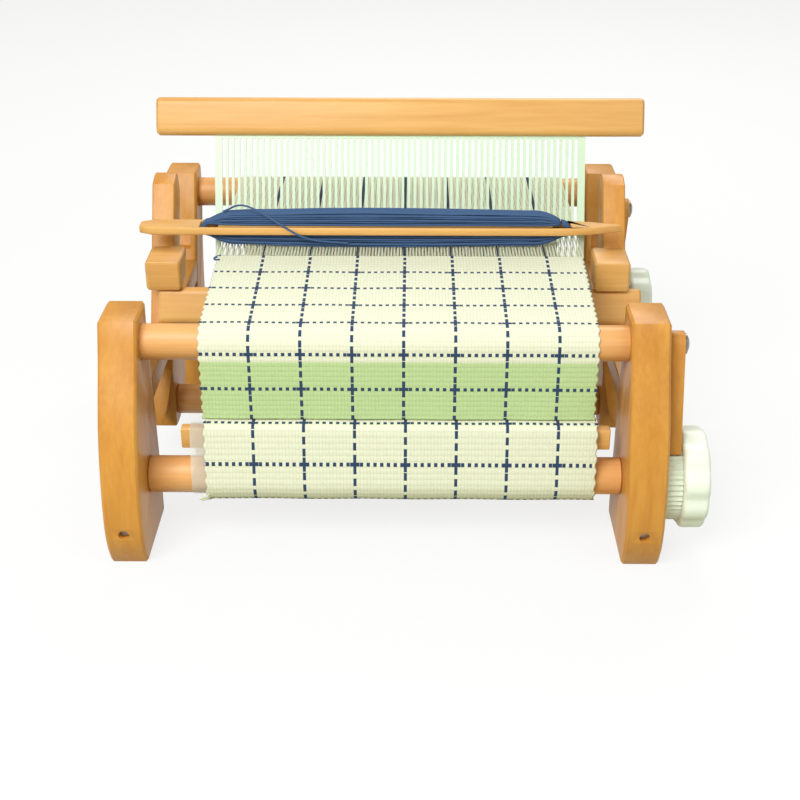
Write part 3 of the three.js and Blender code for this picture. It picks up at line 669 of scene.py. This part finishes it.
class LOOM_OT_cloth(bpy.types.Operator):
    """The checked web from the fell over the breast beam, and its roll"""
    bl_idname = "loom.cloth"
    bl_label = "Woven web"

    def execute(self, context):
        values = context.scene.loom_cloth
        material = woven("checked_cotton", values)
        pick_step = values.pick_pitch / STEPS_PER_PICK
        wrap = BREAST_RADIUS + WEB_RISE
        fell = (WARP_LOW[1] - FELL_BACK, (WARP_LOW[2] + WARP_HIGH[2]) / 2 - FELL_SINK)
        line = [fell, *arc(BREAST, wrap, 86, 180, 24), (BREAST[1] - wrap, WEB_LOW[2] - WEB_DROP)]
        length = resampled(line, [0.0])[4]
        stations = np.linspace(0, length, int(round(length / pick_step)) + 1)
        web = cloth("woven_web", WEB_LOW[0], WEB_HIGH[0], stations,
                    resampled(dense(line), stations)[:4], values, material, 0.0, 1.0)
        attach(web, "frame")
        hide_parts("cloth_web")
        self.roll(values, material, length)
        self.threads(context)
        return {"FINISHED"}

    def roll(self, values, material, start):
        """The web wound on the cloth beam, from its outer lap inward."""
        closed = np.asarray(roll_line())
        skin = closed[:, :2] + ROLL_OUTER * closed[:, 2:]
        around = np.concatenate([[0.0], np.cumsum(np.linalg.norm(np.diff(skin, axis=0), axis=1))])
        pick_step = values.pick_pitch / STEPS_PER_PICK * ROLL_SPREAD
        spots, marks = [], []
        reach, travelled, fine = 0.0, 0.0, 0.0
        total = around[-1] * ROLL_TURNS
        last = None
        while reach < total:
            lap = reach / around[-1]
            offset = ROLL_OUTER - ROLL_STEP * lap
            at = reach % around[-1]
            y, z, ny, nz = [np.interp(at, around, closed[:, k]) for k in range(4)]
            size = math.hypot(ny, nz)
            ny, nz = ny / size, nz / size
            spot = (y + offset * ny, z + offset * nz, ny, nz)
            if last is not None:
                travelled += math.dist(last[:2], spot[:2])
            step = pick_step if lap < ROLL_FINE_LAPS else ROLL_COARSE_TIMES * pick_step
            if last is None or travelled - marks[-1] >= step - 1e-9:
                spots.append(spot)
                marks.append(travelled)
                if lap < ROLL_FINE_LAPS:
                    fine = travelled
            last = spot
            reach += pick_step / ROLL_WALK_STEPS
        stations = np.asarray(marks)
        roll = cloth("woven_roll", ROLL_LOW[0], ROLL_HIGH[0], stations, np.asarray(spots).T,
                     values, material, start + ROLL_START_PICKS * values.pick_pitch, fine,
                     ROLL_SPREAD)
        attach(roll, "cloth_beam_set")
        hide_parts("cloth_roll")

    def threads(self, context):
        """A loop of dark yarn beside the fell, and loose ends at the roll's left edge."""
        x, y, z = (a + b for a, b in zip((WEB_LOW[0], WARP_LOW[1], WARP_LOW[2]), LOOP_MIDDLE))
        loop = [(x - LOOP_SWING[0] * math.sin(t), y - LOOP_SWING[1] * math.cos(t),
                 z - LOOP_SWING[2] * math.sin(t)) for t in np.linspace(0, math.pi, 12)]
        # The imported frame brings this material
        piece = tubes("selvedge_loop", [loop], LOOP_RADIUS, bpy.data.materials["navy_yarn"])
        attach(piece, "frame")
        cotton = plain("loose_cotton", list(context.scene.loom_cloth.ground), 0.9)
        rng = np.random.default_rng(3)
        skin = ROLLER_RADIUS + LOOSE_SKIN
        paths = []
        for angle in LOOSE_TURNS:
            turn = math.radians(angle)
            reach, droop = rng.uniform(*LOOSE_REACH) * MM, rng.uniform(*LOOSE_DROOP) * MM
            out = rng.uniform(*LOOSE_OUT) * MM
            paths.append([(ROLL_LOW[0] + LOOSE_ROOT - (LOOSE_ROOT + reach) * t,
                           CLOTH_AXIS[1] + (skin + out * t) * math.cos(turn),
                           CLOTH_AXIS[2] + (skin + out * t) * math.sin(turn) - droop * t * t)
                          for t in np.linspace(0, 1, 7)])
        ends = tubes("loose_ends", paths, LOOSE_RADIUS, cotton)
        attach(ends, "cloth_beam_set")


DENSE_STEP = 0.0008


def dense(line):
    """The same line of (y, z) points with many more points, so that its normals turn smoothly."""
    points = []
    for (y0, z0), (y1, z1) in zip(line, line[1:]):
        count = max(1, int(math.dist((y0, z0), (y1, z1)) / DENSE_STEP))
        points += [(y0 + (y1 - y0) * i / count, z0 + (z1 - z0) * i / count) for i in range(count)]
    return points + [line[-1]]


# Which way the loop faces where it begins, at the rod's rear corner, and the distance between
# the points on a corner, which keeps the way round the loop growing
ROLL_FACING = 60
CORNER_STEP = 1e-5


def roll_line():
    """The loop round the cloth beam and the rod above it, as (y, z, normal y, normal z).

    It begins at the rod's rear corner and runs forward over the rod and down round the beam."""
    beam = (CLOTH_AXIS[1], CLOTH_AXIS[2])
    front_corner, rear_corner = (ROD_LOW[1], ROD_HIGH[2]), (ROD_HIGH[1], ROD_HIGH[2])

    def facing(corner, side):
        """The direction in which the straight stretch from a corner to the beam faces."""
        dy, dz = corner[0] - beam[0], corner[1] - beam[1]
        lean = math.degrees(math.acos(ROLLER_RADIUS / math.hypot(dy, dz)))
        return math.degrees(math.atan2(dz, dy)) + side * lean

    front, back = facing(front_corner, 1), facing(rear_corner, -1)
    spots = []

    def put(y, z, angle):
        spots.append((y, z, math.cos(math.radians(angle)), math.sin(math.radians(angle))))

    def turn_at(corner, first, last, steps):
        for i in range(steps + 1):
            put(corner[0] - CORNER_STEP * i, corner[1], first + (last - first) * i / steps)

    turn_at(rear_corner, ROLL_FACING, 90, 4)
    turn_at(front_corner, 90, front, 8)
    for i in range(41):
        angle = front + (360 + back - front) * i / 40
        put(beam[0] + ROLLER_RADIUS * math.cos(math.radians(angle)),
            beam[1] + ROLLER_RADIUS * math.sin(math.radians(angle)), angle)
    turn_at(rear_corner, back, ROLL_FACING, 8)
    return spots


# Half the distance between the two threads of a pair in the reed and on the back beam, how
# much a thread swells there, and between which Y places it does
REED_HALF = 0.42 * MM
BEAM_HALF = 0.83 * MM
BEAM_SWELL = 1.85
SPREAD_FROM = 0.045
SPREAD_TO = 0.09
THREAD_RADIUS = 0.41 * MM
THREAD_SIDES = 6
# How far the threads' middle lies off the back beam and off the wound warp
BACK_RISE = 0.8 * MM
WOUND_RISE = 0.9 * MM
# How far the ends reach into the web
INTO_WEB = 1.5 * MM


class LOOM_OT_warp(bpy.types.Operator):
    """The warp ends from the fell, over the back beam, down to the warp roll"""
    bl_idname = "loom.warp"
    bl_label = "Warp ends"

    def execute(self, context):
        pitch = context.scene.loom_cloth.end_pitch
        count = int(round((WARP_HIGH[0] - WARP_LOW[0]) / pitch)) + 1
        level = (WARP_LOW[2] + WARP_HIGH[2]) / 2
        first = (WARP_LOW[0] + WARP_HIGH[0]) / 2 - (count - 1) * pitch / 2
        material = self.finish(context, first, pitch)
        wrap = BACK_RADIUS + BACK_RISE
        hug = WARP_ROLL_RADIUS + WOUND_RISE
        dy, dz = WARP_AXIS[1] - BACK[1], WARP_AXIS[2] - BACK[2]
        lean = math.degrees(math.acos((wrap - hug) / math.hypot(dy, dz)))
        normal = math.degrees(math.atan2(dz, dy)) + lean
        line = [(WARP_LOW[1] - INTO_WEB, level), (SPREAD_FROM, level), (SPREAD_TO, level),
                (BACK[1] - BACK_RADIUS, level), *arc(BACK, wrap, 88, normal, 12),
                *arc(WARP_AXIS, hug, normal, normal - 14, 3)]
        mesh = bpy.data.meshes.new("warp_end")
        points, links, swell = [], [], []
        for side in (-1, 1):
            links += [(len(points) + i, len(points) + i + 1) for i in range(len(line) - 1)]
            for y, z in line:
                opened = min(1.0, max(0.0, (y - SPREAD_FROM) / (SPREAD_TO - SPREAD_FROM)))
                half = REED_HALF + (BEAM_HALF - REED_HALF) * opened
                points.append((first + side * half, y, z))
                swell.append(1 + (BEAM_SWELL - 1) * opened)
        mesh.from_pydata(points, links, [])
        mesh.attributes.new("swell", "FLOAT", "POINT").data.foreach_set("value", swell)
        piece = bpy.data.objects.new("warp_ends", mesh)
        bpy.context.scene.collection.objects.link(piece)
        self.repeat(piece, count, pitch, material)
        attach(piece, "frame")
        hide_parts("warp", "warp_tail")
        recolour("warp_roll", material)
        return {"FINISHED"}

    def finish(self, context, first, pitch):
        """Cotton whose ends are dark where they meet the web's dark lines."""
        values = context.scene.loom_cloth
        paint = Paint("warp_cotton")
        across = paint.split(paint.place())[0]
        place = (across - (first - pitch / 2)) / pitch
        web_pitch = values.end_pitch * values.check_ends
        web_line = WEB_LOW[0] + (LINE_END + 0.5) * values.end_pitch
        end_place = (place.floor() * pitch + (first - web_line)) / web_pitch
        line_end = (off_line(end_place, 1) * web_pitch < pitch / 2) * (place > 1)
        colour = paint.mix(line_end, list(values.ground), list(values.line))
        ridge = abs((place * math.pi).sine())
        return paint.finish(Base_Color=colour, Roughness=0.88,
                            Normal=paint.bump(ridge, 0.0008, 0.6))

    def repeat(self, piece, count, pitch, material):
        """Turns one end into all of them, and leaves a plain mesh."""
        tree = bpy.data.node_groups.new("Warp ends", "GeometryNodeTree")
        face = tree.interface
        face.new_socket("End", in_out="INPUT", socket_type="NodeSocketGeometry")
        sizes = {}
        for label, kind in (("Count", "Int"), ("Pitch", "Float"), ("Radius", "Float")):
            socket = face.new_socket(label, in_out="INPUT", socket_type=f"NodeSocket{kind}")
            sizes[label] = socket.identifier
        socket = face.new_socket("Finish", in_out="INPUT", socket_type="NodeSocketMaterial")
        finish = socket.identifier
        face.new_socket("Ends", in_out="OUTPUT", socket_type="NodeSocketGeometry")

        def add(kind, **links):
            node = tree.nodes.new(kind)
            for key, socket in links.items():
                tree.links.new(socket, node.inputs[key.replace("_", " ")])
            return node

        given = tree.nodes.new("NodeGroupInput").outputs
        curve = add("GeometryNodeMeshToCurve", Mesh=given["End"])
        swell = tree.nodes.new("GeometryNodeInputNamedAttribute")
        swell.data_type = "FLOAT"
        swell.inputs["Name"].default_value = "swell"
        ring = add("GeometryNodeCurvePrimitiveCircle", Radius=given["Radius"])
        ring.inputs["Resolution"].default_value = THREAD_SIDES
        thread = add("GeometryNodeCurveToMesh", Curve=curve.outputs[0],
                     Profile_Curve=ring.outputs[0], Scale=swell.outputs["Attribute"])
        thread.inputs["Fill Caps"].default_value = True
        offset = add("ShaderNodeCombineXYZ", X=given["Pitch"])
        row = add("GeometryNodeMeshLine", Count=given["Count"], Offset=offset.outputs[0])
        spread = add("GeometryNodeInstanceOnPoints", Points=row.outputs[0],
                     Instance=thread.outputs[0])
        solid = add("GeometryNodeRealizeInstances", Geometry=spread.outputs[0])
        smooth = add("GeometryNodeSetShadeSmooth", Geometry=solid.outputs[0])
        painted = add("GeometryNodeSetMaterial", Geometry=smooth.outputs[0],
                      Material=given["Finish"])
        add("NodeGroupOutput", Ends=painted.outputs[0])
        modifier = piece.modifiers.new("Warp ends", "NODES")
        modifier.node_group = tree
        modifier[sizes["Count"]] = count
        modifier[sizes["Pitch"]] = pitch
        modifier[sizes["Radius"]] = THREAD_RADIUS
        modifier[finish] = material
        bpy.context.view_layer.update()
        built = piece.evaluated_get(bpy.context.evaluated_depsgraph_get())
        ready = bpy.data.meshes.new_from_object(built)
        piece.modifiers.clear()
        piece.data = ready


# How far the turns stand apart where they go round the ends, how far the lowest one clears the
# board, and the points that take a turn round an end
TIP_SPREAD = 2.4 * MM
BOARD_GAP = 0.3 * MM
TIP_POINTS = 8
# Where along a run its points lie
RUN_SHARES = (0.012, 0.025, 0.04, 0.055, 0.07, 0.11, 0.2, 0.32, 0.44,
              0.56, 0.68, 0.8, 0.89, 0.93, 0.945, 0.96, 0.975, 0.988)
# The bundle's rise: how much of it comes steeply at the ends, over what share of a run, and how
# much as a long arch
END_RISE = 0.72
END_SHARE = 0.07
ARCH_RISE = 0.28
# How far a turn wanders from lane to lane, and strays across and up
LANE_SHIFT = 0.45
STRAY = (0.75 * MM, 0.45 * MM)
# The turn that has slipped, in millimetres from the bundle's middle
SLIPPED = ((-176, 2, 17.5), (-170, 0, 20.5), (-163, -3, 25), (-154, -7, 27.5),
           (-142, -10.5, 25), (-127, -13.5, 17.5), (-110, -15.6, 7), (-94, -15.8, -3),
           (-78, -13.5, -9.5), (-60, -11.4, -12.5), (-40, -10.6, -14.0))
SLIPPED_POINTS = 40


class LOOM_OT_yarn(bpy.types.Operator):
    """Yarn wound in long turns on the shuttle, with one loose turn"""
    bl_idname = "loom.yarn"
    bl_label = "Wound yarn"

    def execute(self, context):
        values = context.scene.loom_yarn
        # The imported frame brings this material
        material = bpy.data.materials["navy_yarn"]
        centre = middle("shuttle_yarn")
        reach = (YARN_HIGH[0] - YARN_LOW[0]) / 2
        outer = (YARN_HIGH[2] - YARN_LOW[2]) / 2 - values.radius
        inner = half_height("shuttle") + values.radius + BOARD_GAP
        tip = inner + TIP_SPREAD
        run = reach - tip - values.radius
        half = (YARN_HIGH[1] - YARN_LOW[1]) / 2 - values.radius
        rng = np.random.default_rng(7)
        heights = (inner, tip, outer)
        paths = [self.turn(centre, run, half, heights, layer, lane, values, rng)
                 for layer in range(values.layers) for lane in range(values.lanes)]
        piece = tubes("wound_yarn", paths, values.radius, material)
        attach(piece, "shuttle_stick")
        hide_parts("shuttle_yarn")
        loose = tubes("loose_yarn", [self.loose(centre)], values.radius, material)
        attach(loose, "shuttle_stick")
        return {"FINISHED"}

    def turn(self, centre, run, half, heights, layer, lane, values, rng):
        """One turn: round the right end, along below, round the left end and along above.

        The bundle is thin where it goes round the ends and swells towards its middle."""
        inner, tip, outer = heights
        share = layer / (values.layers - 1)
        end = inner + (tip - inner) * share
        height = inner + (outer - inner) * share
        side = -half + 2 * half * (lane + 0.5 * (layer % 2)) / (values.lanes - 0.5)
        shift = 2 * half / (values.lanes - 0.5) * LANE_SHIFT
        stray = rng.uniform(-1, 1, (2, len(RUN_SHARES), 2)) * STRAY
        points = []
        for way in (0, 1):
            sign = 1 - 2 * way
            for k in range(TIP_POINTS):
                angle = math.radians(90 - 180 * k / (TIP_POINTS - 1)) * sign
                points.append((sign * (run + end * math.cos(angle)),
                               0.5 * side + shift * 0.5 * way, end * math.sin(angle)))
            for t, wander in zip(RUN_SHARES, stray[way]):
                steep = math.sin(min(1.0, min(t, 1 - t) / END_SHARE) * math.pi / 2)
                rise = END_RISE * steep + ARCH_RISE * math.sin(math.pi * t)
                z = end + (height - end) * rise + wander[1] * rise * share
                y = (side * (0.5 + 0.5 * rise) + shift * (0.5 * way + 0.5 * t * sign)
                     + wander[0] * rise)
                points.append((sign * (run - 2 * run * t), max(-half, min(half, y)), -sign * z))
        points.append((run - 2 * MM, 0.5 * side, end))
        return [(centre[0] + x, centre[1] + y, centre[2] + z) for x, y, z in points]

    def loose(self, centre):
        """The turn that has slipped: it arches off the top and falls across the front."""
        rough = np.asarray(SLIPPED) * MM + np.asarray(centre)
        at = np.linspace(0, len(rough) - 1, SLIPPED_POINTS)
        smooth = np.empty((len(at), 3))
        for i, t in enumerate(at):
            k = min(int(t), len(rough) - 2)
            f = t - k
            p0, p1 = rough[max(k - 1, 0)], rough[k]
            p2, p3 = rough[k + 1], rough[min(k + 2, len(rough) - 1)]
            smooth[i] = 0.5 * (2 * p1 + (p2 - p0) * f + (2 * p0 - 5 * p1 + 4 * p2 - p3) * f ** 2
                               + (3 * p1 - p0 - 3 * p2 + p3) * f ** 3)
        return smooth


# Each lamp's place, what it aims at, its size and its power
LAMPS = {
    "key": ((-0.9, -1.8, 1.9), (0, 0, 0.15), (1.4, 1.4), 62),
    "fill": ((1.6, -1.2, 1.4), (0, 0, 0.15), (1.4, 1.4), 10),
    "back": ((0.3, 1.8, 1.9), (0, 0, 0.2), (1.6, 1.0), 30),
}
CAMERA_PLACE = (0.0046, -1.44093, 0.794)
CAMERA_TURN = math.radians(0.55)
# Half the floor's side, the light it throws back on the loom, and how much of it glows where
# the camera sees it
FLOOR_REACH = 6.0
FLOOR_BOUNCE = (0.40, 0.41, 0.26, 1)
FLOOR_GLOW = 0.8
# The light that comes from all round
AMBIENT = (0.93, 1.0, 0.90, 1)
AMBIENT_LEVEL = 0.36
WHITE = (1, 1, 1, 1)


def lamp(name, place, aim, size, power):
    """An area lamp turned towards the point it aims at."""
    light = bpy.data.lights.new(name, "AREA")
    light.shape = "RECTANGLE"
    light.size, light.size_y = size
    light.energy = power
    piece = bpy.data.objects.new(name, light)
    bpy.context.scene.collection.objects.link(piece)
    piece.location = place
    x, y, z = [b - a for a, b in zip(place, aim)]
    piece.rotation_euler = (math.atan2(math.hypot(x, y), -z), 0, math.atan2(y, x) - math.pi / 2)


class LOOM_OT_stage(bpy.types.Operator):
    """Pale floor, soft light and the camera"""
    bl_idname = "loom.stage"
    bl_label = "Stage"

    def execute(self, context):
        scene = context.scene
        scene.view_settings.view_transform = "Standard"
        values = scene.loom_stage
        self.floor()
        self.world(scene)
        for name, settings in LAMPS.items():
            lamp(name, *settings)
        camera = bpy.data.cameras.new("camera")
        camera.lens = values.lens
        camera.sensor_width = 36
        view = bpy.data.objects.new("camera", camera)
        scene.collection.objects.link(view)
        view.location = CAMERA_PLACE
        view.rotation_euler = (math.pi / 2 - values.pitch, 0, CAMERA_TURN)
        scene.camera = view
        return {"FINISHED"}

    def floor(self):
        """A floor that is near white to the eye and dull in the light it throws back."""
        paint = Paint("floor")
        tree = paint.tree
        seen = paint.node("ShaderNodeLightPath", {}, {}, "Is Camera Ray")
        glossy = paint.node("ShaderNodeLightPath", {}, {}, "Is Glossy Ray")
        glow = tree.nodes.new("ShaderNodeEmission")
        glow.inputs["Color"].default_value = WHITE
        paint.finish(Base_Color=(0.86, 0.88, 0.84), Roughness=0.9)
        dull = tree.nodes.new("ShaderNodeBsdfDiffuse")
        dull.inputs["Color"].default_value = FLOOR_BOUNCE
        bright = tree.nodes.new("ShaderNodeMixShader")
        bright.inputs[0].default_value = FLOOR_GLOW
        tree.links.new(paint.shader.outputs[0], bright.inputs[1])
        tree.links.new(glow.outputs[0], bright.inputs[2])
        mix = tree.nodes.new("ShaderNodeMixShader")
        paint.feed(mix.inputs[0], seen.most(glossy))
        tree.links.new(dull.outputs[0], mix.inputs[1])
        tree.links.new(bright.outputs[0], mix.inputs[2])
        output = next(n for n in tree.nodes if n.type == "OUTPUT_MATERIAL")
        tree.links.new(mix.outputs[0], output.inputs[0])
        reach = FLOOR_REACH
        corners = [(-reach, -reach, 0), (reach, -reach, 0), (reach, reach, 0), (-reach, reach, 0)]
        show("floor", corners, [(0, 1, 2, 3)], paint.material, False)

    def world(self, scene):
        """A white backdrop for the camera, and a dimmer one that lights the loom."""
        world = bpy.data.worlds.new("studio")
        scene.world = world
        world.use_nodes = True
        tree = world.node_tree
        ambient = tree.nodes["Background"]
        ambient.inputs[0].default_value = AMBIENT
        ambient.inputs[1].default_value = AMBIENT_LEVEL
        bright = tree.nodes.new("ShaderNodeBackground")
        bright.inputs[0].default_value = WHITE
        bright.inputs[1].default_value = 1.0
        path = tree.nodes.new("ShaderNodeLightPath")
        mix = tree.nodes.new("ShaderNodeMixShader")
        tree.links.new(path.outputs["Is Camera Ray"], mix.inputs[0])
        tree.links.new(ambient.outputs[0], mix.inputs[1])
        tree.links.new(bright.outputs[0], mix.inputs[2])
        tree.links.new(mix.outputs[0], tree.nodes["World Output"].inputs[0])


class LOOM_PT_panel(bpy.types.Panel):
    bl_label = "Table loom"
    bl_idname = "LOOM_PT_panel"
    bl_space_type = "VIEW_3D"
    bl_region_type = "UI"
    bl_category = "Loom"

    def draw(self, context):
        for operator in OPERATORS:
            self.layout.operator(operator.bl_idname)
        for group in GROUPS:
            values = getattr(context.scene, group)
            box = self.layout.box()
            for key in values.bl_rna.properties.keys():
                if key not in ("rna_type", "name"):
                    box.prop(values, key)


OPERATORS = (LOOM_OT_wood, LOOM_OT_fittings, LOOM_OT_cloth, LOOM_OT_warp, LOOM_OT_yarn,
             LOOM_OT_stage)
GROUPS = {"loom_cloth": LoomCloth, "loom_wood": LoomWood, "loom_yarn": LoomYarn,
          "loom_stage": LoomStage}


def register():
    for kind in (*GROUPS.values(), *OPERATORS, LOOM_PT_panel):
        bpy.utils.register_class(kind)
    for key, kind in GROUPS.items():
        setattr(bpy.types.Scene, key, PointerProperty(type=kind))


def unregister():
    for key in GROUPS:
        delattr(bpy.types.Scene, key)
    for kind in (LOOM_PT_panel, *OPERATORS[::-1], *GROUPS.values()):
        bpy.utils.unregister_class(kind)


def main():
    register()
    for operator in OPERATORS:
        group, name = operator.bl_idname.split(".")
        getattr(getattr(bpy.ops, group), name)()


if __name__ == "__main__":
    main()
